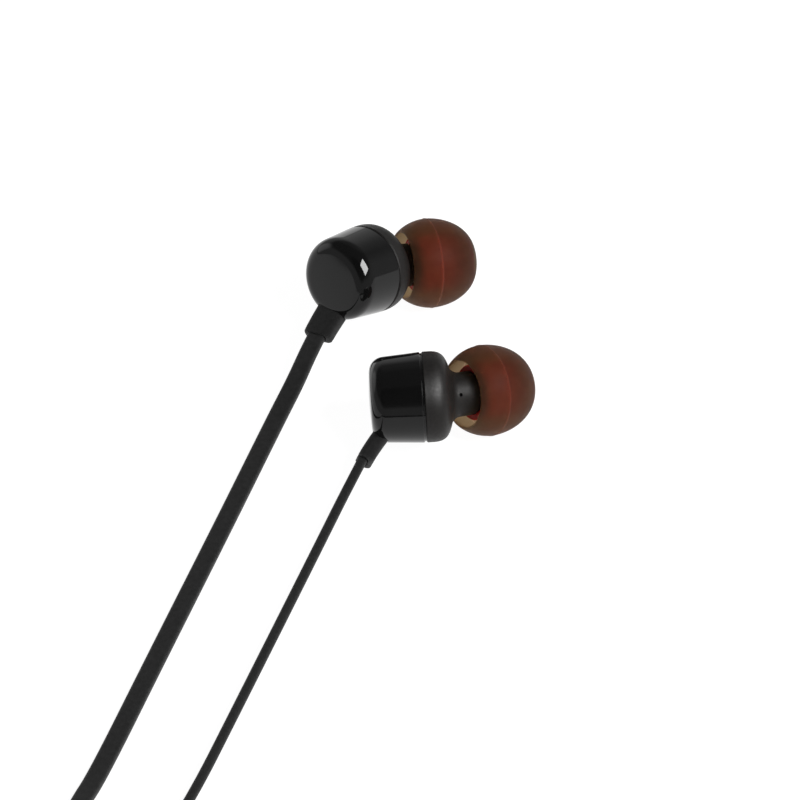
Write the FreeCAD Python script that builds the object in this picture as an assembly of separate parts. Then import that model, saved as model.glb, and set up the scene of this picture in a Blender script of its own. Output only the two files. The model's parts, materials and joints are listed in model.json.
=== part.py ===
"""Wired in-ear earphones with flat cords: two earbuds, a right cord with an inline remote, a left
cord, a splitter, and a main cord that is wound into a coil and ends in a 3.5 mm plug.

Millimetres, +Z up. The part lies on a table at z = 0. The origin is on the table, under the middle
of the box round the two earbuds. +X is to the right and +Y is away from the cords.
"""

import FreeCAD
import Part
import math
import os

V = FreeCAD.Vector
X, Y, Z = V(1, 0, 0), V(0, 1, 0), V(0, 0, 1)

# ---- Earbud shells: x is the barrel's axis with 0 at the seam, z points away from the cord's exit
BARREL_R = 5.96           # outside radius at the seam
BACK_R = 5.64             # outside radius where the back corner starts
BACK_CORNER_X = -4.85
BACK_CORNER_R = 1.97
BACK_X = -6.97            # crown of the back face
WALL = 0.75
SEAM_GAP = 0.25
SEAM_CHAMFER = 0.12
SEAM_LEDGE_R = 5.5        # bottom of the groove between the two shells
SPIGOT_END_X = -1.1       # the front shell's spigot reaches this far into the rear shell
SPIGOT_R = 5.05
SHOULDER_X = 1.15         # centre of the front shoulder's quarter round
SHOULDER_ROUND_R = 2.75
NECK_FILLET_R = 1.4

# ---- Driver, along the same axis
DRIVER_R = 4.6
DRIVER_BACK_X = -1.5
DRIVER_FRONT_X = 1.0
YOKE_R = 3.0
YOKE_BACK_X = -2.2
MAGNET_R = 2.2
PLATE_R = 2.3
COIL_R = 2.45
SHEET = 0.35              # thickness of the driver's pressed metal parts
FILM = 0.1                # thickness of the diaphragm and the meshes
DOME_RISE = 0.5           # the diaphragm's dome and its half-roll surround
ROLL_RISE = 0.3
FRAME_BORE_R = 4.2
LEDGE_R = 3.9
MAGNET_FRONT_X = -0.95

# ---- Nozzle, along its own axis from the point where that axis crosses the barrel's middle
NOZZLE_START = V(2.2, 0, -0.2)
NOZZLE_YAW = 31.0         # sideways tilt; the two earbuds tilt opposite ways
NOZZLE_RISE = 5.1
NECK_R = 2.9
NECK_END = 4.7
GROOVE_R = 2.5
BARB_R = 2.75
BARB_AT = 7.9
NOZZLE_END = 9.0
NOZZLE_BORE_R = 1.95
PORT_R = 0.25             # tuning port in the neck, on the side away from the tilt
PORT_AT = 1.6

# ---- Ear tip, medium size, along the nozzle's axis
TIP_R = 6.0
TIP_WIDEST = 7.1
TIP_RIM = 3.63
TIP_RIM_R = 4.72
TIP_DOME = 6.25           # the dome's length ahead of the widest circle
TIP_MOUTH_R = 1.7         # radius of the dome's crown circle
TIP_WALL = 0.45
STEM_START = 4.9
STEM_R = 3.7
STEM_POCKET_R = 2.8
STEM_POCKET_END = 9.15
STEM_BORE_R = 2.1
STEM_END = 12.4
TIP_OUT = {1: 0.0, -1: 0.35}   # by side of the tilt: the right tip isn't pushed fully home
TIP_PULL_OFF = 9.0        # travel that takes the tip clear of the nozzle

# ---- Strain relief boot, a flat rubber boot at the back lower corner of the barrel
BOOT_START = V(-4.26, 0, -3.09)
BOOT_BEND = V(-6.9, 0, -5.87)
BOOT_END = V(-8.15, 0, -7.97)
BOOT_LIFT = V(0, -0.7, 0.7)   # the cord lying on the table bends the boot's end this far
CORD_EXIT_SHIFT = 0.3         # the cord leaves the boot nearer its outer side
BOOT_WIDTH, BOOT_END_WIDTH = 4.3, 4.0
BOOT_THICK, BOOT_END_THICK = 2.3, 2.2
BOOT_CORNER_R = 0.7
FLANGE_WIDTH, FLANGE_THICK, FLANGE_LENGTH = 4.9, 2.9, 0.7

# ---- How each earbud lies: seam centre, heading, pitch and roll in degrees, side of the tilt
LEFT_POSE = (V(0.5, -13.1, 8.05), 2.8, 2.4, -45.4, 1)
RIGHT_POSE = (V(-7.1, 11.2, 8.192), 48.1, -20.3, -6.2, -1)

# ---- Cords: flat, 2.5 by 1.3 mm; each tube is as thick as the cord is thin
CORD_WIDTH = 2.5
CORD_THICK = 1.3
TUBE_R = CORD_THICK / 2
ARC_SHARE = 0.45          # share of the shorter run that an arc may use

# ---- Coil of the put-away length, on the table past the remote; a tie holds it
COIL_CENTRE = V(-27.5, -127.3, 0)
TIE_THICK = 0.4
LEVEL_1 = TIE_THICK + CORD_WIDTH / 2
LEVEL_2 = LEVEL_1 + CORD_WIDTH + 0.05
COIL_OUTER_R = 21.0       # middle of the outermost turn
COIL_INNER_R = 11.2
COIL_START, COIL_END = 165, 285   # degrees where the main cord joins and leaves the coil
RIGHT_RING_R = 26.6       # the two earbud cords go round the coil once, outside it
LEFT_RING_R = 24.2
RING_START = 165.0        # degrees
RING_END = 410.0
RING_STEPS = 8
RING_LET_OUT = 2.1        # the last corners lie further out, to meet the splitter

# ---- Remote, splitter, plug and tie
REMOTE_LENGTH, REMOTE_WIDTH, REMOTE_HEIGHT = 28.0, 6.2, 4.6
REMOTE_WALL = 0.7
REMOTE_START = V(-43.9, -84.9, 0)
REMOTE_YAW = 255.0
BUTTON_LENGTH, BUTTON_WIDTH = 8.0, 3.0
BUTTON_TRAVEL = 0.25
BUTTON_PROUD = 0.35
BUTTON_GAP = 0.1          # all round the button, in its slot
BOARD_TOP, BOARD_THICK = 1.6, 0.6
MIC_AT = REMOTE_LENGTH - 6.5
MIC_HOLE_R = 0.4
SPLITTER_LENGTH, SPLITTER_WIDTH, SPLITTER_HEIGHT = 14.0, 6.6, 3.6
SPLITTER_YAW = 154.0
SPLITTER_INLET = V(16.9, 20.5, 0)   # from the coil's centre
PLUG_R = 1.75
HANDLE_R, HANDLE_LENGTH = 2.75, 15.0
PLUG_PIN_LENGTH = 14.0
PLUG_RELIEF_LENGTH = 8.0
PLUG_YAW = 80.0
PLUG_START = V(32.1, 2.5, HANDLE_R)   # from the coil's centre
PLUG_CORE_R = 0.8         # the tip contact's shaft, inside the rings
PLUG_SHANK_R = 1.4        # the sleeve contact's end inside the handle
PLUG_SHANK_LENGTH = 1.5
SLEEVE_LENGTH = 5.2
CONTACT_LENGTH = 1.9      # each of the two ring contacts
INSULATOR_LENGTH = 0.6


# ------------------------------------------------------------------ small helpers
def polyline(points):
    return Part.makePolygon([V(*p) for p in points])


def arc(start, middle, end):
    return Part.Arc(V(*start), V(*middle), V(*end)).toShape()


def line(start, end):
    return Part.LineSegment(V(*start), V(*end)).toShape()


def spin(edges):
    """Revolves a closed outline, drawn as (x, radius), about the X axis."""
    face = Part.Face(Part.Wire(edges))
    return face.revolve(V(0, 0, 0), X, 360)


def spin_points(points):
    return spin(polyline([(x, r, 0) for x, r in points + points[:1]]).Edges)


def crown(rim_x, rim_r, top_x, inward=True):
    """A shallow dome's outline: an arc centred on the axis, from the rim to the top or back."""
    rise = top_x - rim_x
    dome_r = (rim_r ** 2 + rise ** 2) / (2 * rise)
    half = math.asin(rim_r / abs(dome_r)) / 2
    middle = (top_x - dome_r * (1 - math.cos(half)), abs(dome_r) * math.sin(half), 0)
    rim, top = (rim_x, rim_r, 0), (top_x, 0, 0)
    return arc(rim, middle, top) if inward else arc(top, middle, rim)


def rod(r, x0, x1):
    return Part.makeCylinder(r, x1 - x0, V(x0, 0, 0), X)


def ring(outer, inner, x0, x1):
    return rod(outer, x0, x1).cut(rod(inner, x0 - 1, x1 + 1))


def block(length, width, height, at):
    return Part.makeBox(length, width, height, at - V(length / 2, width / 2, 0))


def on_circle(r, degrees):
    a = math.radians(degrees)
    return V(r * math.cos(a), r * math.sin(a), 0)


def turned(yaw, pitch=0.0, roll=0.0):
    """Rolls about X, raises X by the pitch, then turns it to the heading."""
    return FreeCAD.Rotation(Z, yaw) * FreeCAD.Rotation(Y, -pitch) * FreeCAD.Rotation(X, roll)


def placed(shape, at, rotation):
    copy = shape.copy()
    copy.Placement = FreeCAD.Placement(at, rotation)
    return copy


def save(name, shape):
    assert shape.isValid(), name
    shape.exportStep("parts/%s.step" % name)
    print("%-26s %9.3f mm3  %d solid" % (name, shape.Volume, len(shape.Solids)))


# ------------------------------------------------------------------ earbud, barrel frame
def rear_shell():
    round_x = BACK_CORNER_X - BACK_CORNER_R
    round_r = BACK_R - BACK_CORNER_R
    diagonal = BACK_CORNER_R * math.sqrt(0.5)
    outer = [
        line((0, BARREL_R - SEAM_CHAMFER, 0), (-SEAM_CHAMFER, BARREL_R, 0)),
        line((-SEAM_CHAMFER, BARREL_R, 0), (BACK_CORNER_X, BACK_R, 0)),
        arc((BACK_CORNER_X, BACK_R, 0), (BACK_CORNER_X - diagonal, round_r + diagonal, 0),
            (round_x, round_r, 0)),
        crown(round_x, round_r, BACK_X),
    ]
    inner_r = BARREL_R - WALL
    inner_back_r = BACK_R - WALL
    inner_back_x = BACK_X + WALL
    inside = [
        line((BACK_X, 0, 0), (inner_back_x, 0, 0)),
        line((inner_back_x, 0, 0), (inner_back_x, round_r, 0)),
        line((inner_back_x, round_r, 0), (BACK_CORNER_X, inner_back_r, 0)),
        line((BACK_CORNER_X, inner_back_r, 0), (0, inner_r, 0)),
        line((0, inner_r, 0), (0, BARREL_R - SEAM_CHAMFER, 0)),
    ]
    return spin(outer + inside)


def nozzle_solid(side):
    profile = [
        (-1, 0), (-1, NECK_R), (NECK_END, NECK_R), (NECK_END, GROOVE_R), (BARB_AT - 0.5, GROOVE_R),
        (BARB_AT, BARB_R), (BARB_AT + 0.3, BARB_R), (NOZZLE_END, GROOVE_R), (NOZZLE_END, 0),
    ]
    solid = placed(spin_points(profile), V(0, 0, 0), turned(0, 0, -90))
    along_nozzle = FreeCAD.Placement(NOZZLE_START, turned(side * NOZZLE_YAW, NOZZLE_RISE))
    solid.Placement = along_nozzle * solid.Placement
    return solid


def shoulder_solid():
    """The front shell's outside without its nozzle, closed at the spigot."""
    front_x = SHOULDER_X + SHOULDER_ROUND_R
    flat_r = BARREL_R - SHOULDER_ROUND_R
    diagonal = SHOULDER_ROUND_R * math.sqrt(0.5)
    ledge_x = 0.02
    outside = Part.BSplineCurve()
    outside.interpolate([
        V(SHOULDER_X, BARREL_R, 0), V(SHOULDER_X + diagonal, flat_r + diagonal, 0),
        V(front_x - 0.05, flat_r, 0), V(front_x + 0.1, 0, 0),
    ], InitialTangent=X, FinalTangent=-Y)
    shoulder = spin([
        line((SPIGOT_END_X, 0, 0), (SPIGOT_END_X, SPIGOT_R, 0)),
        line((SPIGOT_END_X, SPIGOT_R, 0), (ledge_x, SPIGOT_R, 0)),
        line((ledge_x, SPIGOT_R, 0), (ledge_x, SEAM_LEDGE_R, 0)),
        line((ledge_x, SEAM_LEDGE_R, 0), (SEAM_GAP, SEAM_LEDGE_R, 0)),
        line((SEAM_GAP, SEAM_LEDGE_R, 0), (SEAM_GAP, BARREL_R - SEAM_CHAMFER, 0)),
        line((SEAM_GAP, BARREL_R - SEAM_CHAMFER, 0), (SEAM_GAP + SEAM_CHAMFER, BARREL_R, 0)),
        line((SEAM_GAP + SEAM_CHAMFER, BARREL_R, 0), (SHOULDER_X, BARREL_R, 0)),
        outside.toShape(),
        line((front_x + 0.1, 0, 0), (SPIGOT_END_X, 0, 0)),
    ])
    return placed(shoulder, V(0, 0, 0), turned(0, 0, 90))


def front_shell(side):
    body = shoulder_solid().fuse(nozzle_solid(side))
    joint = [e for e in body.Edges if is_neck_joint(e, side)]
    body = body.makeFillet(NECK_FILLET_R, joint)
    cavity_front = SHOULDER_X + SHOULDER_ROUND_R - WALL
    cavity = spin_points([
        (SPIGOT_END_X - 1, 0), (SPIGOT_END_X - 1, DRIVER_R + 0.02), (DRIVER_FRONT_X + 0.2, DRIVER_R + 0.02),
        (cavity_front, NECK_R), (cavity_front, 0),
    ])
    bore = on_nozzle(rod(NOZZLE_BORE_R, 0.3, NOZZLE_END + 1), side)
    port = on_nozzle(Part.makeCylinder(PORT_R, NECK_R + 2, V(PORT_AT, 0, 0), V(0, -side, 0)), side)
    return body.cut(cavity).cut(bore).cut(port)


def is_neck_joint(edge, side):
    """True for the curved edges where the neck runs into the shoulder."""
    middle = edge.valueAt((edge.FirstParameter + edge.LastParameter) / 2)
    point = turned(side * NOZZLE_YAW, NOZZLE_RISE).inverted().multVec(middle - NOZZLE_START)
    on_neck = abs(math.hypot(point.y, point.z) - NECK_R) < 0.02
    straight = edge.Curve.TypeId == "Part::GeomLine"
    return on_neck and not straight and point.x < NECK_END - 0.1


def on_nozzle(shape, side):
    return placed(shape, NOZZLE_START, turned(side * NOZZLE_YAW, NOZZLE_RISE))


def driver_frame():
    ledge_x = FILM
    body = ring(DRIVER_R, FRAME_BORE_R, DRIVER_BACK_X, DRIVER_FRONT_X)
    ledge = ring(FRAME_BORE_R + 0.1, LEDGE_R, DRIVER_BACK_X, ledge_x)
    back = ring(DRIVER_R, YOKE_R, DRIVER_BACK_X, DRIVER_BACK_X + SHEET)
    frame = body.fuse([ledge, back])
    for i in range(6):
        at = V(DRIVER_BACK_X - 1, 0, 0) + turned(0, 0, 60 * i + 30).multVec(V(0, 3.45, 0))
        frame = frame.cut(Part.makeCylinder(0.3, 2, at, X))
    return frame.removeSplitter()


def driver_yoke():
    wall = ring(YOKE_R, YOKE_R - SHEET + 0.1, YOKE_BACK_X, DRIVER_BACK_X + 1.0)
    return wall.fuse(rod(YOKE_R, YOKE_BACK_X, YOKE_BACK_X + SHEET)).removeSplitter()


def driver_magnet():
    return rod(MAGNET_R, YOKE_BACK_X + SHEET, MAGNET_FRONT_X)


def driver_plate():
    return rod(PLATE_R, MAGNET_FRONT_X, MAGNET_FRONT_X + SHEET)


def voice_coil():
    return ring(COIL_R + 0.15, COIL_R, -1.25, FILM)


def diaphragm():
    """A dome, a half-roll surround and a flat rim, one thin film."""
    roll_in, roll_out, rim = COIL_R + 0.2, 3.85, 4.18
    middle = (roll_in + roll_out) / 2
    low, high = FILM, 2 * FILM
    return spin([
        line((high + DOME_RISE, 0, 0), (low + DOME_RISE, 0, 0)),
        crown(low, roll_in, low + DOME_RISE, inward=False),
        arc((low, roll_in, 0), (low + ROLL_RISE, middle, 0), (low, roll_out, 0)),
        line((low, roll_out, 0), (low, rim, 0)),
        line((low, rim, 0), (high, rim, 0)),
        line((high, rim, 0), (high, roll_out, 0)),
        arc((high, roll_out, 0), (high + ROLL_RISE, middle, 0), (high, roll_in, 0)),
        crown(high, roll_in, high + DOME_RISE),
    ])


def driver_grille():
    grille = rod(DRIVER_R - 0.05, DRIVER_FRONT_X, DRIVER_FRONT_X + 0.15)
    holes = [V(0, 0, 0)]
    holes += [turned(0, 0, 60 * i).multVec(V(0, 2.2, 0)) for i in range(6)]
    for at in holes:
        grille = grille.cut(Part.makeCylinder(0.55, 2, at, X))
    return grille


def terminal_board():
    return Part.makeBox(0.4, 4.4, 3.0, V(YOKE_BACK_X - 0.4, -2.2, -1.5))


def nozzle_mesh(side):
    return on_nozzle(rod(NOZZLE_BORE_R, NOZZLE_END - 0.4, NOZZLE_END - 0.4 + FILM), side)


def vent_felt(side):
    at = V(PORT_AT, -side * (NOZZLE_BORE_R - 0.13), 0)
    return on_nozzle(Part.makeCylinder(0.6, 0.2, at, V(0, side, 0)), side)


def dome_point(r, length, degrees):
    """A point of the tip's dome, counted from its widest circle towards its crown."""
    a = math.radians(degrees)
    return V(TIP_WIDEST + length * math.sin(a), TIP_MOUTH_R + (r - TIP_MOUTH_R) * math.cos(a), 0)


def dome_curve(r, length, degrees):
    curve = Part.BSplineCurve()
    curve.interpolate([dome_point(r, length, d) for d in degrees])
    return curve.toShape()


def ear_tip_skirt(side):
    """The thin outer skirt: a dome that turns back over the stem and ends in a rounded rim."""
    inner_r, inner_length = TIP_R - TIP_WALL, TIP_DOME - 0.6
    outer_end = dome_point(TIP_R, TIP_DOME, 76)
    inner_end = dome_point(inner_r, inner_length, 58)
    rim_middle = (TIP_WIDEST + TIP_RIM) / 2
    rim_middle_r = TIP_RIM_R + 0.73 * (TIP_R - TIP_RIM_R)
    rim_out = (TIP_RIM + 0.05, TIP_RIM_R, 0)
    rim_in = (TIP_RIM + 0.1, TIP_RIM_R - 0.35, 0)
    mouth_x = outer_end.x - 0.35
    edges = [
        arc(rim_out, (rim_middle, rim_middle_r, 0), (TIP_WIDEST, TIP_R, 0)),
        dome_curve(TIP_R, TIP_DOME, range(0, 77, 19)),
        arc(outer_end, (outer_end.x - 0.05, STEM_BORE_R + 0.15, 0), (mouth_x, STEM_BORE_R, 0)),
        line((mouth_x, STEM_BORE_R, 0), (STEM_END, STEM_BORE_R, 0)),
        line((STEM_END, STEM_BORE_R, 0), (STEM_END, STEM_R, 0)),
        line((STEM_END, STEM_R, 0), (inner_end.x, STEM_R, 0)),
        line((inner_end.x, STEM_R, 0), inner_end),
        dome_curve(inner_r, inner_length, range(58, -1, -29)),
        arc((TIP_WIDEST, inner_r, 0), (rim_middle, rim_middle_r - TIP_WALL, 0), rim_in),
        arc(rim_in, (TIP_RIM - 0.1, TIP_RIM_R - 0.16, 0), rim_out),
    ]
    return on_nozzle(spin(edges), side)


def ear_tip_stem(side):
    stem = spin_points([
        (STEM_START, STEM_POCKET_R), (STEM_START, STEM_R - 0.2), (STEM_START + 0.2, STEM_R),
        (STEM_END, STEM_R), (STEM_END, STEM_BORE_R), (STEM_POCKET_END, STEM_BORE_R),
        (STEM_POCKET_END, STEM_POCKET_R),
    ])
    return on_nozzle(stem, side)


def boot_curve(pose, share):
    """The boot's middle line in the row's axes: a point and its direction."""
    centre, yaw, pitch, roll, _ = pose
    rotation = turned(yaw, pitch, roll)
    start, bend, end = [centre + rotation.multVec(p) for p in (BOOT_START, BOOT_BEND, BOOT_END)]
    end = end + BOOT_LIFT
    keep = 1 - share
    point = start * (keep * keep) + bend * (2 * keep * share) + end * (share * share)
    direction = (bend - start) * keep + (end - bend) * share
    return point, direction.normalize()


def rounded_section(width, thick, corner, at, direction, across):
    """A rounded rectangle: its width runs along across, its thickness square to both."""
    across = (across - direction * across.dot(direction)).normalize()
    up = direction.cross(across)
    w, t = width / 2 - corner, thick / 2 - corner
    edges = []
    corners = [(1, 1), (-1, 1), (-1, -1), (1, -1)]
    for i, (a, b) in enumerate(corners):
        c = at + across * (a * w) + up * (b * t)
        side_1, side_2 = (across * a, up * b) if a * b > 0 else (up * b, across * a)
        p = c + side_1 * corner
        q = c + side_2 * corner
        m = c + (side_1 + side_2).normalize() * corner
        edges.append(arc(p, m, q))
        a2, b2 = corners[(i + 1) % 4]
        c2 = at + across * (a2 * w) + up * (b2 * t)
        next_1 = across * a2 if a2 * b2 > 0 else up * b2
        edges.append(line(q, c2 + next_1 * corner))
    return Part.Wire(edges)


def strain_relief(pose):
    """A flat boot lofted along a gentle bend, with a flange that holds it inside the shell."""
    _, yaw, pitch, roll, _ = pose
    across = turned(yaw, pitch, roll).multVec(Y)
    sections = []
    for share in (0.0, 0.25, 0.5, 0.75, 1.0):
        at, direction = boot_curve(pose, share)
        width = BOOT_WIDTH + share * (BOOT_END_WIDTH - BOOT_WIDTH)
        thick = BOOT_THICK + share * (BOOT_END_THICK - BOOT_THICK)
        sections.append(rounded_section(width, thick, BOOT_CORNER_R, at, direction, across))
    boot = Part.makeLoft(sections, True)
    at, direction = boot_curve(pose, 0.0)
    flange = rounded_section(FLANGE_WIDTH, FLANGE_THICK, BOOT_CORNER_R, at, direction, across)
    flange = Part.Face(flange).extrude(direction * -FLANGE_LENGTH)
    return boot.fuse(flange).removeSplitter()


def earbud(name, pose):
    """Saves one earbud's pieces where it lies."""
    centre, yaw, pitch, roll, side = pose
    rotation = turned(yaw, pitch, roll)
    boot = strain_relief(pose)
    tip_shift = turned(side * NOZZLE_YAW, NOZZLE_RISE).multVec(X) * TIP_OUT[side]
    pieces = {
        "front_shell": front_shell(side),
        "driver_frame": driver_frame(),
        "driver_yoke": driver_yoke(),
        "driver_magnet": driver_magnet(),
        "driver_plate": driver_plate(),
        "voice_coil": voice_coil(),
        "diaphragm": diaphragm(),
        "driver_grille": driver_grille(),
        "terminal_board": terminal_board(),
        "nozzle_mesh": nozzle_mesh(side),
        "vent_felt": vent_felt(side),
        "ear_tip_skirt": ear_tip_skirt(side).translated(tip_shift),
        "ear_tip_stem": ear_tip_stem(side).translated(tip_shift),
    }
    save(name + "_rear_shell", placed(rear_shell(), centre, rotation).cut(boot))
    save(name + "_strain_relief", boot)
    for piece, shape in pieces.items():
        moved = shape.copy()
        moved.Placement = FreeCAD.Placement(centre, rotation) * shape.Placement
        save(name + "_" + piece, moved)


# ------------------------------------------------------------------ cords
# Each free route is a list of points chosen by hand, on the table or just above it.
LEFT_ROUTE = [
    V(-10.0, -25.5, 1.45), V(-11.9, -30.8, 1.2), V(-15.4, -40.9, 1.2), V(-22.3, -60.7, 1.2),
    V(-29.0, -79.8, 1.2), V(-35.6, -92.6, 1.4), V(-42.0, -103.8, 1.5), V(-46.9, -112.2, LEVEL_1),
]
RIGHT_ROUTE = [
    V(-16.3, -3.7, 1.75), V(-18.3, -8.5, 0.85), V(-20.8, -15.8, 0.65), V(-25.4, -29.7, 0.65),
    V(-33.3, -53.1, 0.65), V(-40.1, -73.5, 0.65), V(-42.3, -79.1, 1.4),
]
MAIN_START_ROUTE = [V(-3.4, 28.9, LEVEL_1), V(-12.0, 23.6, LEVEL_1), V(-18.4, 14.6, LEVEL_1)]
MAIN_END_ROUTE = [V(15.0, -18.3, 5.1), V(23.3, -14.5, 5.1), V(28.9, -8.3, 3.7), V(31.3, -2.0, 2.8)]


def tube(points, report=None):
    """A round tube along straight runs joined by tangent arcs as large as the runs allow."""
    edges = []
    radii = []
    here = points[0]
    for before, corner, after in zip(points, points[1:], points[2:]):
        come, go = corner - before, after - corner
        turn = come.getAngle(go)
        cut = ARC_SHARE * min(come.Length, go.Length)
        radius = cut / math.tan(turn / 2)
        radii.append(radius)
        start = corner - V(come).normalize() * cut
        end = corner + V(go).normalize() * cut
        inward = (V(go).normalize() - V(come).normalize()).normalize()
        middle = corner + inward * (radius / math.cos(turn / 2) - radius)
        edges.append(Part.LineSegment(here, start).toShape())
        edges.append(Part.Arc(start, middle, end).toShape())
        here = end
    edges.append(Part.LineSegment(here, points[-1]).toShape())
    length = sum(e.Length for e in edges)
    section = Part.Wire(Part.makeCircle(TUBE_R, points[0], points[1] - points[0]))
    solid = Part.Wire(edges).makePipeShell([section], True, False)
    expected = math.pi * TUBE_R ** 2 * length
    least = min(radii) if radii else float("inf")
    print("tube %-18s length %7.1f  volume/expected %.4f  least radius %.1f  radii %s" % (
        report, length, solid.Volume / expected, least, [round(r, 1) for r in radii]))
    return solid, length


def ring_corners(radius, start, end, steps, z):
    """Corners of an open polygon round the coil whose sides touch the circle of this radius."""
    step = (end - start) / steps
    corners = []
    for i in range(steps):
        let_out = RING_LET_OUT * max(0, i - steps + 3) / 2
        corner_r = (radius + let_out) / math.cos(math.radians(step / 2))
        corners.append(COIL_CENTRE + on_circle(corner_r, start + step * (i + 0.5)) + V(0, 0, z))
    return corners


def splitter_place(along, across, z):
    """A point of the splitter, from its inlet's middle on the table."""
    rotation = turned(SPLITTER_YAW)
    return COIL_CENTRE + SPLITTER_INLET + rotation.multVec(V(along, across, z))


def cord_exit(pose):
    """Where a cord leaves its boot, and its direction there."""
    middle, direction = boot_curve(pose, 1.0)
    _, yaw, pitch, roll, _ = pose
    across = turned(yaw, pitch, roll).multVec(Y)
    return middle - direction.cross(across).normalize() * CORD_EXIT_SHIFT, direction


def left_cord():
    end, direction = cord_exit(LEFT_POSE)
    points = [end, end + direction * 2.3] + LEFT_ROUTE
    points += ring_corners(LEFT_RING_R, RING_START, RING_END, RING_STEPS, LEVEL_1)
    points.append(splitter_place(0, 1.5, LEVEL_1))
    return tube(points, "left")[0]


def right_cord_upper():
    end, direction = cord_exit(RIGHT_POSE)
    points = [end, end + direction * 2.6] + RIGHT_ROUTE
    points.append(remote_place(0, 0, REMOTE_HEIGHT / 2))
    return tube(points, "right upper")[0]


def right_cord_lower():
    points = [remote_place(REMOTE_LENGTH, 0, REMOTE_HEIGHT / 2)]
    points += ring_corners(RIGHT_RING_R, RING_START, RING_END, RING_STEPS, LEVEL_1)
    points.append(splitter_place(0, -1.5, LEVEL_1))
    return tube(points, "right lower")[0]


def main_cord_start():
    points = [splitter_place(SPLITTER_LENGTH, 0, LEVEL_1)]
    points += [COIL_CENTRE + p for p in MAIN_START_ROUTE]
    points.append(COIL_CENTRE + on_circle(COIL_OUTER_R + 0.6, COIL_START) + V(0, 0, LEVEL_1))
    return tube(points, "main start")[0]


def main_cord_coil():
    outer = COIL_OUTER_R + TUBE_R + 0.2
    inner = COIL_INNER_R - TUBE_R - 0.2
    height = LEVEL_2 + CORD_WIDTH / 2 - TIE_THICK
    base = COIL_CENTRE + V(0, 0, TIE_THICK)
    return Part.makeCylinder(outer, height, base).cut(Part.makeCylinder(inner, height, base))


def main_cord_end():
    points = [COIL_CENTRE + on_circle(COIL_OUTER_R, COIL_END) + V(0, 0, LEVEL_2)]
    points += [COIL_CENTRE + p for p in MAIN_END_ROUTE]
    points.append(plug_place(0))
    return tube(points, "main end")[0]


def plug_place(along):
    return COIL_CENTRE + PLUG_START + turned(PLUG_YAW).multVec(V(along, 0, 0))


def remote_place(along, across, z):
    return REMOTE_START + turned(REMOTE_YAW).multVec(V(along, across, z))


# ------------------------------------------------------------------ splitter, remote, plug, tie
def splitter():
    body = block(SPLITTER_LENGTH, SPLITTER_WIDTH, SPLITTER_HEIGHT, V(SPLITTER_LENGTH / 2, 0, 0))
    body = body.makeFillet(1.1, [e for e in body.Edges if abs(e.tangentAt(0).z) > 0.9])
    body = body.makeFillet(0.5, [e for e in body.Edges if abs(e.BoundBox.ZLength) < 0.01])
    return placed(body, splitter_place(0, 0, 0), turned(SPLITTER_YAW))


def remote_outline(z0, z1, inset):
    """A lozenge with round ends, the remote's plan, between two heights."""
    length, width = REMOTE_LENGTH - 2 * inset, REMOTE_WIDTH - 2 * inset
    body = block(length, width, z1 - z0, V(REMOTE_LENGTH / 2, 0, z0))
    radius = width / 2 - 0.05
    return body.makeFillet(radius, [e for e in body.Edges if abs(e.tangentAt(0).z) > 0.9])


def remote_shells():
    half = REMOTE_HEIGHT / 2
    outer = remote_outline(0, REMOTE_HEIGHT, 0)
    outer = outer.makeFillet(0.9, [e for e in outer.Edges if e.BoundBox.ZLength < 0.01])
    cavity = remote_outline(REMOTE_WALL, REMOTE_HEIGHT - REMOTE_WALL, REMOTE_WALL)
    hollow = outer.cut(cavity)
    inlet = rod(TUBE_R, -1, REMOTE_LENGTH + 1).translated(V(0, 0, half))
    hollow = hollow.cut(inlet)
    below = Part.makeBox(60, 60, half, V(-10, -30, 0))
    rear = hollow.common(below)
    front = hollow.cut(below)
    slot = block(BUTTON_LENGTH + 2 * BUTTON_GAP, BUTTON_WIDTH + 2 * BUTTON_GAP, 3,
                 V(REMOTE_LENGTH / 2, 0, half + 1))
    slot = slot.makeFillet(0.9, [e for e in slot.Edges if abs(e.tangentAt(0).z) > 0.9])
    pinhole = Part.makeCylinder(MIC_HOLE_R, 3, V(MIC_AT, 0, half + 1))
    return front.cut(slot).cut(pinhole), rear


def remote_button():
    top = REMOTE_HEIGHT + BUTTON_PROUD
    roof = REMOTE_HEIGHT - REMOTE_WALL
    cap = block(BUTTON_LENGTH, BUTTON_WIDTH, top - roof + 0.5, V(REMOTE_LENGTH / 2, 0, roof - 0.5))
    cap = cap.makeFillet(0.8, [e for e in cap.Edges if abs(e.tangentAt(0).z) > 0.9])
    cap = cap.makeFillet(0.15, [e for e in cap.Edges if e.BoundBox.ZMin > top - 0.01])
    flange = block(BUTTON_LENGTH + 1.2, BUTTON_WIDTH + 1.2, 0.4, V(REMOTE_LENGTH / 2, 0, roof - 0.45))
    pusher = Part.makeCylinder(0.7, 0.9, V(REMOTE_LENGTH / 2, 0, roof - 0.9))
    return cap.fuse([flange, pusher]).removeSplitter()


def remote():
    front, rear = remote_shells()
    pusher_end = REMOTE_HEIGHT - REMOTE_WALL - 0.9
    switch_top = pusher_end - BUTTON_TRAVEL - 0.02
    middle = REMOTE_LENGTH / 2
    pieces = {
        "remote_front_shell": front,
        "remote_rear_shell": rear,
        "remote_button": remote_button(),
        "remote_board": block(21, 4.2, BOARD_THICK, V(middle, 0, BOARD_TOP - BOARD_THICK)),
        "remote_switch": block(3.0, 2.6, switch_top - BOARD_TOP, V(middle, 0, BOARD_TOP)),
        "microphone": block(2.6, 1.9, 0.9, V(MIC_AT, 0, BOARD_TOP)),
    }
    for name, shape in pieces.items():
        save(name, placed(shape, REMOTE_START, turned(REMOTE_YAW)))


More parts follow.
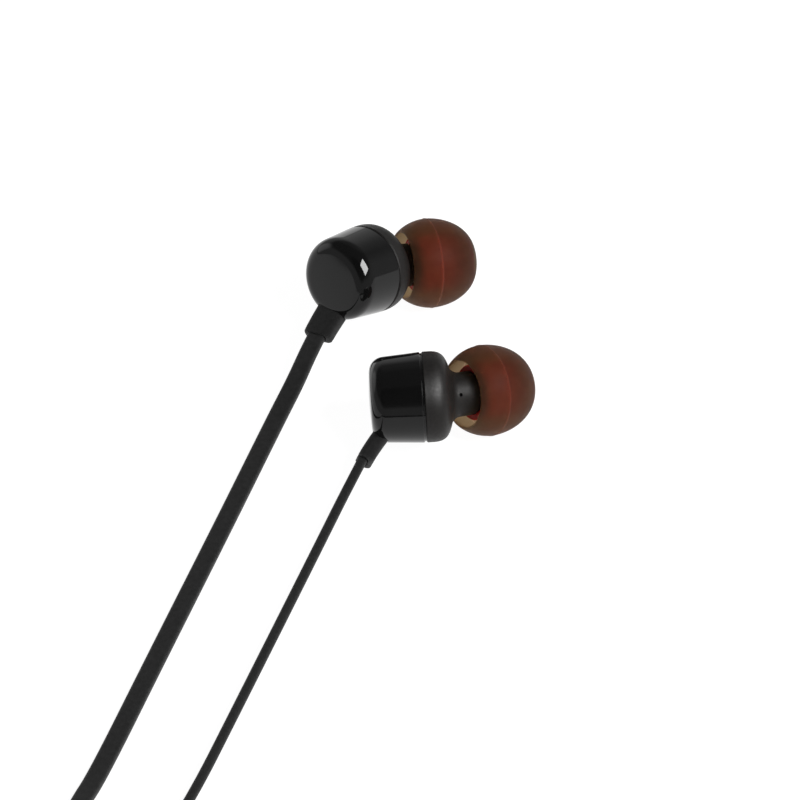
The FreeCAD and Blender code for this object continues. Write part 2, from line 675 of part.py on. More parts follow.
def plug():
    """The plug, along X from the end of the main cord; its contacts are separate sleeves."""
    relief_end = PLUG_RELIEF_LENGTH
    handle_end = relief_end + HANDLE_LENGTH
    shank_start = handle_end - PLUG_SHANK_LENGTH
    sleeve_end = handle_end + SLEEVE_LENGTH
    ring_2_end = sleeve_end + INSULATOR_LENGTH + CONTACT_LENGTH
    ring_1_end = ring_2_end + INSULATOR_LENGTH + CONTACT_LENGTH
    tip_start = ring_1_end + INSULATOR_LENGTH
    tip_end = handle_end + PLUG_PIN_LENGTH
    handle = rod(HANDLE_R, relief_end, handle_end)
    handle = handle.makeFillet(0.6, [e for e in handle.Edges if e.Curve.TypeId == "Part::GeomCircle"])
    handle = handle.cut(rod(PLUG_SHANK_R, shank_start, handle_end + 1))
    relief = spin_points([(0, TUBE_R), (0, 1.4), (relief_end, 2.0), (relief_end, TUBE_R)])
    sleeve = spin_points([
        (shank_start, PLUG_CORE_R), (shank_start, PLUG_SHANK_R), (handle_end, PLUG_SHANK_R),
        (handle_end, PLUG_R), (sleeve_end, PLUG_R), (sleeve_end, PLUG_CORE_R),
    ])
    insulators = [
        ring(PLUG_R, PLUG_CORE_R, start, start + INSULATOR_LENGTH)
        for start in (sleeve_end, ring_2_end, ring_1_end)
    ]
    tip = spin_points([
        (shank_start, 0), (shank_start, PLUG_CORE_R), (tip_start, PLUG_CORE_R), (tip_start, PLUG_R),
        (tip_start + 0.9, PLUG_R), (tip_start + 1.5, 1.15), (tip_start + 2.1, 1.5),
        (tip_end - 0.35, 0.55), (tip_end, 0),
    ])
    pieces = {
        "plug_relief": relief.fuse(rod(TUBE_R, 0.8, relief_end)).removeSplitter(),
        "plug_handle": handle,
        "plug_sleeve": sleeve,
        "plug_ring_2": ring(PLUG_R, PLUG_CORE_R, ring_2_end - CONTACT_LENGTH, ring_2_end),
        "plug_ring_1": ring(PLUG_R, PLUG_CORE_R, ring_1_end - CONTACT_LENGTH, ring_1_end),
        "plug_insulators": Part.makeCompound(insulators),
        "plug_tip": tip,
    }
    for name, shape in pieces.items():
        save(name, placed(shape, plug_place(0), turned(PLUG_YAW)))
    pin_end = tip_start + 0.9
    middle = plug_place((handle_end + pin_end) / 2)
    print("plug pin: middle", [round(c, 3) for c in middle], "cylinder", round(pin_end - handle_end, 3))


def cord_tie():
    """A soft strap round the coil and the two cords that go round it, at one place."""
    inside, outside = COIL_INNER_R - 2.0, RIGHT_RING_R + 1.1
    top = LEVEL_2 + CORD_WIDTH / 2 + 0.1
    t = TIE_THICK
    width = 7.0
    hoop = Part.makeBox(outside - inside + 2 * t, width, top + t, V(inside - t, -width / 2, 0))
    hoop = hoop.makeFillet(1.0, [e for e in hoop.Edges if e.BoundBox.YLength > width - 0.1])
    window = Part.makeBox(outside - inside, width + 2, top - t, V(inside, -width / 2 - 1, t))
    window = window.makeFillet(0.6, [e for e in window.Edges if e.BoundBox.YLength > width])
    return placed(hoop.cut(window), COIL_CENTRE, turned(235))


os.makedirs("parts", exist_ok=True)
earbud("left", LEFT_POSE)
earbud("right", RIGHT_POSE)
save("left_cord", left_cord())
save("right_cord_upper", right_cord_upper())
save("right_cord_lower", right_cord_lower())
save("main_cord_start", main_cord_start())
save("main_cord_coil", main_cord_coil())
save("main_cord_end", main_cord_end())
save("splitter", splitter())
remote()
plug()
save("cord_tie", cord_tie())
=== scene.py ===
"""Wired in-ear earphones with flat cords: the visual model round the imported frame, in metres."""
import json
import math

import bmesh
import bpy
from mathutils import Matrix, Vector

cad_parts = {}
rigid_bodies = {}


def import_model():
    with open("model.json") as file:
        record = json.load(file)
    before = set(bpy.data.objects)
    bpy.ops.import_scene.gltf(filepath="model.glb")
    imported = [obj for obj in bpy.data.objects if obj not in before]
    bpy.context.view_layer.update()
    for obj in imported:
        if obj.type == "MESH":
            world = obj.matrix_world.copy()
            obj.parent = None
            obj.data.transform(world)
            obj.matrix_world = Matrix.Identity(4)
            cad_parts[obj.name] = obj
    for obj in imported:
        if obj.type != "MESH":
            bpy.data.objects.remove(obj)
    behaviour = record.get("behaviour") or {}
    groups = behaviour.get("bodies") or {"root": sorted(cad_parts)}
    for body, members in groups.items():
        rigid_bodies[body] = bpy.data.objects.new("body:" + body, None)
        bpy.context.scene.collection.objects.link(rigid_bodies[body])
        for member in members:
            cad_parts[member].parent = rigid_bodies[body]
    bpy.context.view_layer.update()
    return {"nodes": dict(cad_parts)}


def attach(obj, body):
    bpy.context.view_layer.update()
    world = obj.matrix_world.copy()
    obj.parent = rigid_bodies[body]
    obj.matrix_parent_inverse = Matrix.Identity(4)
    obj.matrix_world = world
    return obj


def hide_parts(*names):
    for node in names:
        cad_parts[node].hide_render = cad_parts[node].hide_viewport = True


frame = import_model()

MM = 0.001
NODES = frame["nodes"]


# ------------------------------------------------------------------ camera
TARGET = Vector((-0.002415, -0.013354, 0.007787))
DISTANCE = 0.8
ELEVATION = math.radians(44)
SENSOR_WIDTH, LENS = 36, 275.4   # mm


def make_camera():
    data = bpy.data.cameras.new("camera")
    data.sensor_width = SENSOR_WIDTH
    data.lens = LENS
    data.clip_start = 0.05
    data.clip_end = 20
    camera = bpy.data.objects.new("camera", data)
    back = Vector((0, -math.cos(ELEVATION), math.sin(ELEVATION)))
    camera.location = TARGET + back * DISTANCE
    camera.rotation_euler = (-back).to_track_quat("-Z", "Y").to_euler()
    bpy.context.scene.collection.objects.link(camera)
    bpy.context.scene.camera = camera


make_camera()


# ------------------------------------------------------------------ meshes
def turned(yaw, pitch=0.0, roll=0.0):
    """Rolls about X, raises X by the pitch, then turns it to the heading; degrees."""
    yaw, pitch, roll = (math.radians(a) for a in (yaw, pitch, roll))
    return Matrix.Rotation(yaw, 4, "Z") @ Matrix.Rotation(-pitch, 4, "Y") @ Matrix.Rotation(roll, 4, "X")


def finish_mesh(name, verts, faces, material, sharp=40, uvs=None):
    """A smooth shaded object whose edges stay sharp above that many degrees."""
    mesh = bpy.data.meshes.new(name)
    mesh.from_pydata([tuple(v) for v in verts], [], faces)
    if uvs:
        layer = mesh.uv_layers.new(name="along")
        for loop in mesh.loops:
            layer.data[loop.index].uv = uvs[loop.vertex_index]
    work = bmesh.new()
    work.from_mesh(mesh)
    bmesh.ops.recalc_face_normals(work, faces=work.faces)
    work.to_mesh(mesh)
    work.free()
    for polygon in mesh.polygons:
        polygon.use_smooth = True
    mesh.set_sharp_from_angle(angle=math.radians(sharp))
    mesh.materials.append(material)
    obj = bpy.data.objects.new(name, mesh)
    bpy.context.scene.collection.objects.link(obj)
    return obj


def lathe(name, profile, place, material, segments=128, sharp=40):
    """Spins a closed outline of (x, radius) points in mm about the X axis of place.
    Its map holds the radius (in 10 mm) and x (in 20 mm)."""
    verts, faces, rings, uvs = [], [], [], []
    for x, r in profile:
        uvs += [(r / 10, x / 20)] * (segments if r >= 1e-6 else 1)
        if r < 1e-6:
            rings.append([len(verts)] * segments)
            verts.append(place @ Vector((x * MM, 0, 0)))
            continue
        rings.append(list(range(len(verts), len(verts) + segments)))
        for k in range(segments):
            a = 2 * math.pi * k / segments
            verts.append(place @ Vector((x * MM, r * MM * math.cos(a), r * MM * math.sin(a))))
    for one, two in zip(rings, rings[1:] + rings[:1]):
        if one[0] == one[1] and two[0] == two[1]:
            continue
        for k in range(segments):
            n = (k + 1) % segments
            corners = []
            for v in (one[k], one[n], two[n], two[k]):
                if v not in corners:
                    corners.append(v)
            faces.append(corners)
    return finish_mesh(name, verts, faces, material, sharp, uvs)


def resampled(points, step):
    """The same open line with points no further apart than step; its corners stay."""
    result = [Vector(points[0])]
    for a, b in zip(points, points[1:]):
        a, b = Vector(a), Vector(b)
        count = max(1, round((b - a).length / step))
        result += [a.lerp(b, (i + 1) / count) for i in range(count)]
    return result


def eased(points, step=0.1, rounds=20):
    """Softens the corners of an open line, as a moulded surface blends, ends kept."""
    line = resampled(points, step)
    for _ in range(rounds):
        line = [line[0]] + [
            (a + b * 2 + c) / 4 for a, b, c in zip(line, line[1:], line[2:])
        ] + [line[-1]]
    return [tuple(p) for p in line]


def arc_points(centre, radius, start, end, count):
    """Points of a circle's arc in the plane of a profile, in degrees, both ends included."""
    result = []
    for i in range(count + 1):
        a = math.radians(start + (end - start) * i / count)
        result.append((centre[0] + radius * math.cos(a), centre[1] + radius * math.sin(a)))
    return result


def arc_through(a, b, c, count):
    """Points of the arc from a through b to c in the plane of a profile."""
    ax, ay, bx, by, cx, cy = *a, *b, *c
    d = 2 * (ax * (by - cy) + bx * (cy - ay) + cx * (ay - by))
    ux = ((ax**2 + ay**2) * (by - cy) + (bx**2 + by**2) * (cy - ay) + (cx**2 + cy**2) * (ay - by)) / d
    uy = ((ax**2 + ay**2) * (cx - bx) + (bx**2 + by**2) * (ax - cx) + (cx**2 + cy**2) * (bx - ax)) / d
    start = math.degrees(math.atan2(ay - uy, ax - ux))
    middle = math.degrees(math.atan2(by - uy, bx - ux))
    end = math.degrees(math.atan2(cy - uy, cx - ux))
    way = 1 if (middle - start) % 360 < (end - start) % 360 else -1
    end = start + way * ((way * (end - start)) % 360)
    return arc_points((ux, uy), math.hypot(ax - ux, ay - uy), start, end, count)


def rounded(width, thick, corner, per_corner=5):
    """A rounded rectangle's outline, (across, up) in mm."""
    result = []
    for k, (a, b) in enumerate(((1, 1), (-1, 1), (-1, -1), (1, -1))):
        centre = (a * (width / 2 - corner), b * (thick / 2 - corner))
        result += arc_points(centre, corner, 90 * k, 90 * k + 90, per_corner - 1)
    return result


def sweep(name, points, across, sections, material, closed=False, sharp=40, along=None):
    """Carries outlines in mm along points in metres; across is each outline's width direction."""
    count, size = len(points), len(sections[0])
    verts, faces, uvs = [], [], []
    run = 0.0
    for i, point in enumerate(points):
        before = points[i - 1] if i or closed else point
        after = points[(i + 1) % count] if i + 1 < count or closed else point
        tangent = (after - before).normalized()
        if along:
            tangent = along[i]
        wide = (across[i] - tangent * across[i].dot(tangent)).normalized()
        up = tangent.cross(wide)
        if i:
            run += (point - points[i - 1]).length
        for k, (a, b) in enumerate(sections[i]):
            verts.append(point + wide * (a * MM) + up * (b * MM))
            uvs.append((k / size, run * 100))
    for i in range(count if closed else count - 1):
        one, two = i * size, ((i + 1) % count) * size
        for k in range(size):
            n = (k + 1) % size
            faces.append([one + k, one + n, two + n, two + k])
    if not closed:
        faces.append(list(range(size)))
        faces.append(list(range((count - 1) * size, count * size)))
    return finish_mesh(name, verts, faces, material, sharp, uvs)


# ------------------------------------------------------------------ materials
def principled(name, colour, roughness, **values):
    material = bpy.data.materials.new(name)
    material.use_nodes = True
    shader = material.node_tree.nodes["Principled BSDF"]
    shader.inputs["Base Color"].default_value = (*colour, 1)
    shader.inputs["Roughness"].default_value = roughness
    for socket, value in values.items():
        shader.inputs[socket.replace("_", " ")].default_value = value
    return material


def node(material, kind, **values):
    made = material.node_tree.nodes.new(kind)
    for key, value in values.items():
        if hasattr(made, key):
            setattr(made, key, value)
        else:
            made.inputs[key.replace("_", " ")].default_value = value
    return made


def link(material, source, target):
    material.node_tree.links.new(source, target)


def shader_of(material):
    return material.node_tree.nodes["Principled BSDF"]


def noise(material, size_mm, detail):
    """A noise's value, its features about size_mm across."""
    place = node(material, "ShaderNodeTexCoord")
    mapping = node(material, "ShaderNodeMapping")
    scale = 1 / (size_mm * MM)
    mapping.inputs["Scale"].default_value = (scale, scale, scale)
    texture = node(material, "ShaderNodeTexNoise", Scale=1.0, Detail=detail, Roughness=0.5)
    link(material, place.outputs["Object"], mapping.inputs["Vector"])
    link(material, mapping.outputs["Vector"], texture.inputs["Vector"])
    return texture.outputs["Fac"]


def ramp(material, value, stops):
    made = node(material, "ShaderNodeValToRGB")
    elements = made.color_ramp.elements
    while len(elements) < len(stops):
        elements.new(0.5)
    for element, (at, colour) in zip(elements, stops):
        element.position = at
        element.color = (*colour, 1)
    link(material, value, made.inputs["Fac"])
    return made.outputs["Color"]


def ranged(material, value, low, high):
    """A noise's value spread from low to high."""
    made = node(material, "ShaderNodeMapRange")
    made.inputs["From Min"].default_value = 0.25
    made.inputs["From Max"].default_value = 0.75
    made.inputs["To Min"].default_value = low
    made.inputs["To Max"].default_value = high
    link(material, value, made.inputs["Value"])
    return made.outputs["Result"]


def bumpy(material, size_mm, detail, height_mm):
    """A fine grain in the surface."""
    made = node(material, "ShaderNodeBump", Strength=1.0, Distance=height_mm * MM)
    link(material, noise(material, size_mm, detail), made.inputs["Height"])
    link(material, made.outputs["Normal"], shader_of(material).inputs["Normal"])


def mottled(material, size_mm, dark, light):
    """A base colour that wanders between two colours."""
    link(material, ramp(material, noise(material, size_mm, 4.0), [(0.3, dark), (0.7, light)]),
         shader_of(material).inputs["Base Color"])


def varied_roughness(material, size_mm, low, high):
    link(material, ranged(material, noise(material, size_mm, 4.0), low, high),
         shader_of(material).inputs["Roughness"])


def lathe_map(material):
    """The two values of a lathe's map: X the radius in 10 mm, Y the place along its axis in 20 mm."""
    place = node(material, "ShaderNodeTexCoord")
    parts = node(material, "ShaderNodeSeparateXYZ")
    link(material, place.outputs["UV"], parts.inputs["Vector"])
    return parts.outputs["X"], parts.outputs["Y"]


def grey(value):
    return (value, value, value)


def parting_line(material, colour):
    """The fine paler line round the skirt where its mould's halves met."""
    _, along = lathe_map(material)
    plain = shader_of(material).inputs["Base Color"].links[0].from_socket
    band = ramp(material, along,
                [(0.3545, grey(0)), (0.3565, grey(1)), (0.362, grey(1)), (0.364, grey(0))])
    mixed = node(material, "ShaderNodeMixRGB")
    mixed.inputs[2].default_value = (*colour, 1)
    link(material, band, mixed.inputs[0])
    link(material, plain, mixed.inputs[1])
    link(material, mixed.outputs[0], shader_of(material).inputs["Base Color"])


# painted glow: the strength of the stem's emission, which stands in for light passed through the
# silicone
PAINTED_STEM_GLOW = 0.42


def paint_stem_glow(material):
    """Painted glow: emission on the stem's outside, most in its rear half, standing in for red light
    passed through the silicone.
    """
    radius, along = lathe_map(material)
    strength = ramp(material, along, [
        (0.25, grey(PAINTED_STEM_GLOW * 0.15)), (0.295, grey(PAINTED_STEM_GLOW)), (0.42, grey(PAINTED_STEM_GLOW)),
        (0.54, grey(PAINTED_STEM_GLOW * 0.3))])
    outside = node(material, "ShaderNodeMapRange")
    outside.inputs["From Min"].default_value = 0.35
    outside.inputs["From Max"].default_value = 0.36
    both = node(material, "ShaderNodeMath", operation="MULTIPLY")
    link(material, radius, outside.inputs["Value"])
    link(material, strength, both.inputs[0])
    link(material, outside.outputs["Result"], both.inputs[1])
    link(material, both.outputs["Value"], shader_of(material).inputs["Emission Strength"])


def skirt_silicone():
    """Smoky silicone: light passes through it, scattered and tinted by its thickness."""
    skirt = principled("tip_skirt_silicone", (0.29, 0.245, 0.16), 0.5, Transmission_Weight=0.94, IOR=1.2,
                       Specular_IOR_Level=0.1)
    mottled(skirt, 1.4, (0.25, 0.215, 0.14), (0.33, 0.28, 0.185))
    parting_line(skirt, (0.75, 0.5, 0.4))
    bumpy(skirt, 0.4, 2.0, 0.006)
    glow = node(skirt, "ShaderNodeBsdfTranslucent")
    glow.inputs["Color"].default_value = (0.62, 0.51, 0.35, 1)
    mix = node(skirt, "ShaderNodeMixShader")
    mix.inputs["Fac"].default_value = 0.3
    output = skirt.node_tree.nodes["Material Output"]
    link(skirt, shader_of(skirt).outputs["BSDF"], mix.inputs[1])
    link(skirt, glow.outputs["BSDF"], mix.inputs[2])
    link(skirt, mix.outputs["Shader"], output.inputs["Surface"])
    absorb = node(skirt, "ShaderNodeVolumeAbsorption")
    absorb.inputs["Color"].default_value = (0.62, 0.425, 0.285, 1)
    absorb.inputs["Density"].default_value = 1050
    link(skirt, absorb.outputs["Volume"], output.inputs["Volume"])
    return skirt


def stem_silicone():
    stem = principled("tip_stem_silicone", (0.4, 0.02, 0.014), 0.5, Specular_IOR_Level=0.2)
    mottled(stem, 1.2, (0.36, 0.017, 0.012), (0.44, 0.023, 0.016))
    bumpy(stem, 0.3, 2.0, 0.006)
    # painted glow: the red colour of the stem's emission, not light from a lamp
    shader_of(stem).inputs["Emission Color"].default_value = (1.0, 0.085, 0.06, 1)
    paint_stem_glow(stem)
    return stem


def make_materials():
    made = {"tip_skirt": skirt_silicone(), "tip_stem": stem_silicone()}

    # name, roughness, specular level, mottling (size, dark, light), its roughness's variation
    # (size, low, high), grain (size, detail, height)
    blacks = {
        "shell_gloss": ("gloss_black_plastic", 0.06, 0.25, (3.0, grey(0.005), grey(0.006)),
                        (1.2, 0.035, 0.085), (2.2, 1.0, 0.0012)),
        "shell_matte": ("matte_black_plastic", 0.46, 0.17,
                        (0.35, (0.009, 0.0078, 0.0072), (0.013, 0.0115, 0.0107)),
                        (0.5, 0.42, 0.54), (0.11, 2.0, 0.012)),
        "boot_rubber": ("boot_rubber", 0.62, 0.25, (0.5, grey(0.016), grey(0.023)),
                        (0.8, 0.52, 0.7), (0.16, 3.0, 0.012)),
        "cord_jacket": ("cord_jacket", 0.52, 0.32, (0.6, grey(0.018), grey(0.026)),
                        (0.7, 0.5, 0.66), (0.13, 2.0, 0.009)),
        "moulded_rubber": ("moulded_rubber", 0.55, 0.5, (0.6, grey(0.014), grey(0.023)),
                           (0.9, 0.45, 0.62), (0.14, 2.0, 0.011)),
        "button_plastic": ("button_plastic", 0.32, 0.5, (0.5, grey(0.026), grey(0.036)),
                           None, (0.12, 2.0, 0.006)),
        "tie_silicone": ("tie_silicone", 0.5, 0.5, (0.9, grey(0.024), grey(0.038)),
                         None, (0.25, 2.0, 0.01)),
    }
    for slot, (name, roughness, specular, colours, variation, grain) in blacks.items():
        black = principled(name, colours[2], roughness, Specular_IOR_Level=specular)
        mottled(black, *colours)
        if variation:
            varied_roughness(black, *variation)
        bumpy(black, *grain)
        made[slot] = black

    metals = {
        "contact_plating": ((0.83, 0.78, 0.7), 0.2),
        "mesh_metal": ((0.35, 0.34, 0.33), 0.35),
        "driver_steel": ((0.55, 0.54, 0.52), 0.34),
        "magnet": ((0.42, 0.42, 0.43), 0.28),
        "copper_wire": ((0.72, 0.33, 0.17), 0.3),
        "switch_metal": ((0.6, 0.59, 0.57), 0.3),
    }
    for slot, (colour, roughness) in metals.items():
        metal = principled(slot, colour, roughness, Metallic=1.0)
        mottled(metal, 0.8, [c * 0.85 for c in colour], colour)
        varied_roughness(metal, 0.5, roughness - 0.06, roughness + 0.08)
        bumpy(metal, 0.2, 3.0, 0.002)
        made[slot] = metal

    plain = {
        "driver_plastic": (grey(0.03), 0.5),
        "film": ((0.45, 0.3, 0.12), 0.25),
        "circuit_board": ((0.01, 0.09, 0.04), 0.4),
        "felt": (grey(0.3), 0.9),
        "insulator": (grey(0.02), 0.4),
    }
    for slot, (colour, roughness) in plain.items():
        simple = principled(slot, colour, roughness)
        mottled(simple, 0.4, [c * 0.8 for c in colour], [c * 1.2 for c in colour])
        bumpy(simple, 0.15, 2.0, 0.006)
        made[slot] = simple
    return made


MATERIALS = make_materials()
for cad in NODES.values():
    for material_slot in cad.material_slots:
        plain_name = material_slot.material.name.split(".")[0]
        material_slot.material = MATERIALS[plain_name]


def piece(obj, slot, body, *replaced):
    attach(obj, body)
    if replaced:
        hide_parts(*replaced)
    return obj


# ------------------------------------------------------------------ cords
CORD_WIDTH, CORD_THICK, CORD_CORNER = 2.5, 1.3, 0.5
CORD_SECTION = rounded(CORD_WIDTH, CORD_THICK, CORD_CORNER)
UP = Vector((0, 0, 1))
LEAN = Vector((0, -0.7193, 0.6947))   # the side the left cord's width leans to

COIL_CENTRE = Vector((-0.0275, -0.1273, 0))
LEVEL_1 = 0.00165   # cords on their edges, with the tie's strap under them
LEVEL_2 = 0.0042    # the turns on top of those


RING_START, RING_END, RING_STEPS = 165.0, 410.0, 8
RING_LET_OUT = 0.0021


def ring_corners(radius):
    """Corners of an open polygon round the coil whose sides touch the circle of this radius.
    The last ones lie further out, to meet the splitter."""
    step = (RING_END - RING_START) / RING_STEPS
    result = []
    for i in range(RING_STEPS):
        a = math.radians(RING_START + step * (i + 0.5))
        let_out = RING_LET_OUT * max(0, i - RING_STEPS + 3) / 2
        corner_r = (radius + let_out) / math.cos(math.radians(step / 2))
        result.append(COIL_CENTRE + Vector((corner_r * math.cos(a), corner_r * math.sin(a), LEVEL_1)))
    return result


def spline_points(name, points, resolution):
    """Points read from the smooth NURBS spline whose control points these are."""
    curve = bpy.data.curves.new(name, "CURVE")
    curve.dimensions = "3D"
    spline = curve.splines.new("NURBS")
    spline.points.add(len(points) - 1)
    for control, point in zip(spline.points, points):
        control.co = (*point, 1)
    spline.order_u = 3
    spline.use_endpoint_u = True
    spline.resolution_u = resolution
    obj = bpy.data.objects.new(name, curve)
    bpy.context.scene.collection.objects.link(obj)
    bpy.context.view_layer.update()
    mesh = bpy.data.meshes.new_from_object(obj.evaluated_get(bpy.context.evaluated_depsgraph_get()))
    result = [v.co.copy() for v in mesh.vertices]
    bpy.data.objects.remove(obj)
    bpy.data.meshes.remove(mesh)
    return result


def length_of(points):
    return sum((b - a).length for a, b in zip(points, points[1:]))


def flat_cord(name, control, turns, replaced,
              resolution=10):
    """A flat cord; turns says its width's direction, as (run in metres, direction or None).
    None stands for flat on the table. Between two entries the width turns smoothly."""
    points = spline_points(name, control, resolution)
    total = length_of(points)
    across = []
    run = 0.0
    for i, point in enumerate(points):
        if i:
            run += (point - points[i - 1]).length
        before = points[max(0, i - 1)]
        after = points[min(len(points) - 1, i + 1)]
        level = UP.cross(after - before).normalized()
        keys = [(at if at >= 0 else total + at, level if way is None else way) for at, way in turns]
        wide = keys[-1][1]
        if run <= keys[0][0]:
            wide = keys[0][1]
        else:
            for (a, one), (b, two) in zip(keys, keys[1:]):
                if a <= run <= b:
                    share = (run - a) / max(b - a, 1e-9)
                    share = share * share * (3 - 2 * share)
                    other = two if one.dot(two) >= 0 else -two
                    wide = one.lerp(other, share)
                    break
        across.append(wide)
    for i in range(1, len(across)):
        if across[i].dot(across[i - 1]) < 0:
            across[i] = -across[i]
    sections = [CORD_SECTION] * len(points)
    cord = sweep(name, points, across, sections, MATERIALS["cord_jacket"], sharp=60)
    piece(cord, "cord_jacket", "earphones", *replaced)


LEFT_EXIT = Vector((-0.00739, -0.01976, 0.00291))
LEFT_ROUTE = [
    LEFT_EXIT, Vector((-0.00836, -0.02172, 0.00220)), Vector((-0.01000, -0.02550, 0.00145)),
    Vector((-0.01190, -0.03080, 0.00125)), Vector((-0.01540, -0.04090, 0.00125)),
    Vector((-0.02230, -0.06070, 0.00125)), Vector((-0.02900, -0.07980, 0.00125)),
    Vector((-0.03560, -0.09260, 0.00140)), Vector((-0.04200, -0.10380, 0.00150)),
    Vector((-0.04690, -0.11220, 0.00165)), *ring_corners(0.0242),
    Vector((-0.01126, -0.10815, 0.00165)),
]
RIGHT_EXIT = Vector((-0.01349, 0.00213, 0.00457))
RIGHT_ROUTE = [
    RIGHT_EXIT, Vector((-0.01457, -0.00009, 0.00376)), Vector((-0.01630, -0.00370, 0.00175)),
    Vector((-0.01830, -0.00850, 0.00085)), Vector((-0.02080, -0.01580, 0.00066)),
    Vector((-0.02540, -0.02970, 0.00066)), Vector((-0.03330, -0.05310, 0.00066)),
    Vector((-0.04010, -0.07350, 0.00066)), Vector((-0.04230, -0.07910, 0.00140)),
    Vector((-0.04390, -0.08490, 0.00230)),
]
REMOTE_END = Vector((-0.05115, -0.11195, 0.00230))
LOWER_ROUTE = [REMOTE_END, *ring_corners(0.0266), Vector((-0.00994, -0.10545, 0.00165))]
SPLITTER_OUT = Vector((-0.02318, -0.10066, 0.00165))


def coil_points():
    """The main cord's turns: inwards on the table, then outwards on top of those."""
    points = []
    start, climb, top, end = 165.0, 1641.0, 1841.0, 3165.0
    first_r, inner_r, last_r = 21.6, 11.4, 21.0
    uneven = 0.22   # a hand-wound coil isn't quite round
    steps = 134
    for i in range(steps + 1):
        angle = start + (end - start) * i / steps
        if angle < climb:
            radius, z = first_r + (inner_r - first_r) * (angle - start) / (climb - start), LEVEL_1
        elif angle < top:
            share = (angle - climb) / (top - climb)
            radius = inner_r
            z = LEVEL_1 + (LEVEL_2 - LEVEL_1) * share * share * (3 - 2 * share)
        else:
            radius, z = inner_r + (last_r - inner_r) * (angle - top) / (end - top), LEVEL_2
        ends = min(1.0, i / 6, (steps - i) / 6)
        radius += ends * uneven * math.sin(math.radians(angle) * 1.37 + 0.8)
        a = math.radians(angle)
        points.append(COIL_CENTRE + Vector((radius * MM * math.cos(a), radius * MM * math.sin(a), z)))
    return points


MAIN_ROUTE = [
    SPLITTER_OUT, Vector((-0.03090, -0.09840, 0.00165)), Vector((-0.03950, -0.10370, 0.00165)),
    Vector((-0.04590, -0.11270, 0.00165)), *coil_points(),
    Vector((-0.01250, -0.14560, 0.00510)), Vector((-0.00420, -0.14180, 0.00510)),
    Vector((0.00140, -0.13560, 0.00370)), Vector((0.00380, -0.12930, 0.00280)),
    Vector((0.00460, -0.12480, 0.00275)),
]


# ------------------------------------------------------------------ earbuds
# where the seam's middle is; its yaw, pitch and roll; the side its nozzle turns to
BUDS = {
    "left": (Vector((0.0005, -0.0131, 0.00805)), 2.8, 2.4, -45.4, 1),
    "right": (Vector((-0.0071, 0.0112, 0.008192)), 48.1, -20.3, -6.2, -1),
}

TIP_OUT = {"left": 0.0, "right": 0.35}   # the right tip isn't pushed fully home


def bud_place(name):
    centre, yaw, pitch, roll, _ = BUDS[name]
    return Matrix.Translation(centre) @ turned(yaw, pitch, roll)


def nozzle_place(name, out=0.0):
    """The nozzle's own axes, moved out along the nozzle by that many mm."""
    tilt = BUDS[name][4]
    start = bud_place(name) @ Matrix.Translation((0.0022, 0, -0.0002)) @ turned(31 * tilt, 5.1)
    return start @ Matrix.Translation((out * MM, 0, 0))


# the boot's middle line in the earbud's own axes, and how its soft end gives
BOOT_LINE = ((-0.00426, 0, -0.00309), (-0.0069, 0, -0.00587), (-0.00815, 0, -0.00797))
BOOT_FLEX = Vector((0, -0.0007, 0.0007))
BOOT_WIDTH, BOOT_THICK, BOOT_CORNER = (4.3, 4.0), (2.3, 2.2), 0.75   # at its start and its end
BOOT_ROUND = 0.4        # of its end's edge
BOOT_CORD_SIDE = 0.3    # the cord leaves it this far off its middle


def boot_line(name, share):
    """The boot's middle line: a point and its direction there."""
    place = bud_place(name)
    start, bend, end = (place @ Vector(p) for p in BOOT_LINE)
    end += BOOT_FLEX
    keep = 1 - share
    point = start * (keep * keep) + bend * (2 * keep * share) + end * (share * share)
    return point, ((bend - start) * keep + (end - bend) * share).normalized()


def boot_sweep(name, label, grow, shares, material, mouth=False):
    """The flat boot grown by that many mm; with a mouth, its end is rounded and takes the cord."""
    across = bud_place(name).to_3x3() @ Vector((0, 1, 0))
    points, sections, ways = [], [], []
    wide, thick = BOOT_WIDTH, BOOT_THICK
    for share in shares:
        at, way = boot_line(name, share)
        points.append(at)
        ways.append(way)
        sections.append(rounded(
            wide[0] + (wide[1] - wide[0]) * share + 2 * grow,
            thick[0] + (thick[1] - thick[0]) * share + 2 * grow, BOOT_CORNER + grow))
    if mouth:
        end, way = boot_line(name, 1.0)
        side = way.cross(across).normalized() * -BOOT_CORD_SIDE * MM
        for k in range(1, 7):
            a = math.radians(15 * k)
            shrink = BOOT_ROUND * (1 - math.cos(a))
            points.append(end - way * (BOOT_ROUND * (1 - math.sin(a)) * MM))
            ways.append(way)
            sections.append(rounded(
                wide[1] - 2 * shrink, thick[1] - 2 * shrink, BOOT_CORNER - 0.5 * shrink))
        for depth, extra in ((0.0, 0.28), (0.06, 0.16), (0.5, 0.12)):
            points.append(end - way * (depth * MM) + side)
            ways.append(way)
            sections.append(
                rounded(CORD_WIDTH + extra, CORD_THICK + extra, CORD_CORNER + extra / 2))
    return sweep(label, points, [across] * len(points), sections, material, along=ways)


BARREL_R, BACK_R = 5.96, 5.64               # the taper, at the seam and at the back corner
BACK_CORNER_X, CORNER_R = -4.85, 1.97
BACK_X, FLAT_R, CROWN = -6.97, 3.67, 0.15   # the back's middle, its radius and its bulge


